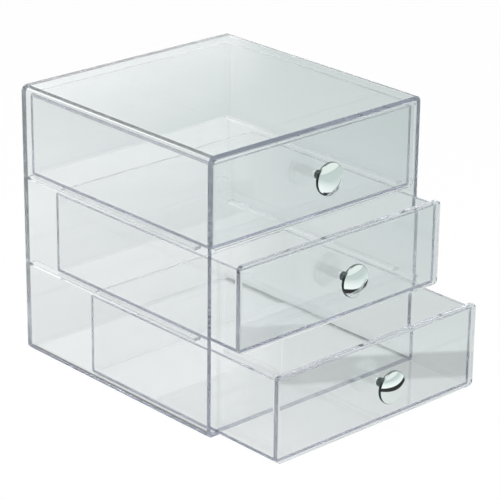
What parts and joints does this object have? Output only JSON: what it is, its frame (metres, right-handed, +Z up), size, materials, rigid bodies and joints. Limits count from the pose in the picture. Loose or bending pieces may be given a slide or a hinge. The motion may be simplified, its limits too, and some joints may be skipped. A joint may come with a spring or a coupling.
{
  "type": "desktop drawer organizer",
  "caption": "Clear plastic tabletop organizer: an open-fronted case whose drawers slide on side ledges, each with a round polished metal knob.",
  "frame": {"origin": "centre of the case's underside", "axes": "+Z up; -Y out of the open front, the way the drawers slide out; +X to the right as seen from the front"},
  "size_m": [0.165, 0.2315, 0.169],
  "materials": {
    "clear_case": "moulded clear plastic, polished",
    "clear_tray": "moulded clear plastic, polished",
    "clear_front": "moulded clear plastic, polished",
    "knob_metal": "turned metal, mirror-polished plating"
  },
  "bodies": {
    "case": {"case_shell": "clear_case"},
    "drawer_top": {"tray_top": "clear_tray", "front_top": "clear_front", "knob_top": "knob_metal"},
    "drawer_middle": {"tray_middle": "clear_tray", "front_middle": "clear_front", "knob_middle": "knob_metal"},
    "drawer_bottom": {"tray_bottom": "clear_tray", "front_bottom": "clear_front", "knob_bottom": "knob_metal"}
  },
  "joints": [
    {"name": "top_slide", "type": "slide", "parent": "case", "child": "drawer_top", "axis": [0, -1, 0], "range_m": [0, 0.115]},
    {"name": "middle_slide", "type": "slide", "parent": "case", "child": "drawer_middle", "axis": [0, -1, 0], "range_m": [-0.0225, 0.0925]},
    {"name": "bottom_slide", "type": "slide", "parent": "case", "child": "drawer_bottom", "axis": [0, -1, 0], "range_m": [-0.054, 0.061]}
  ]
}
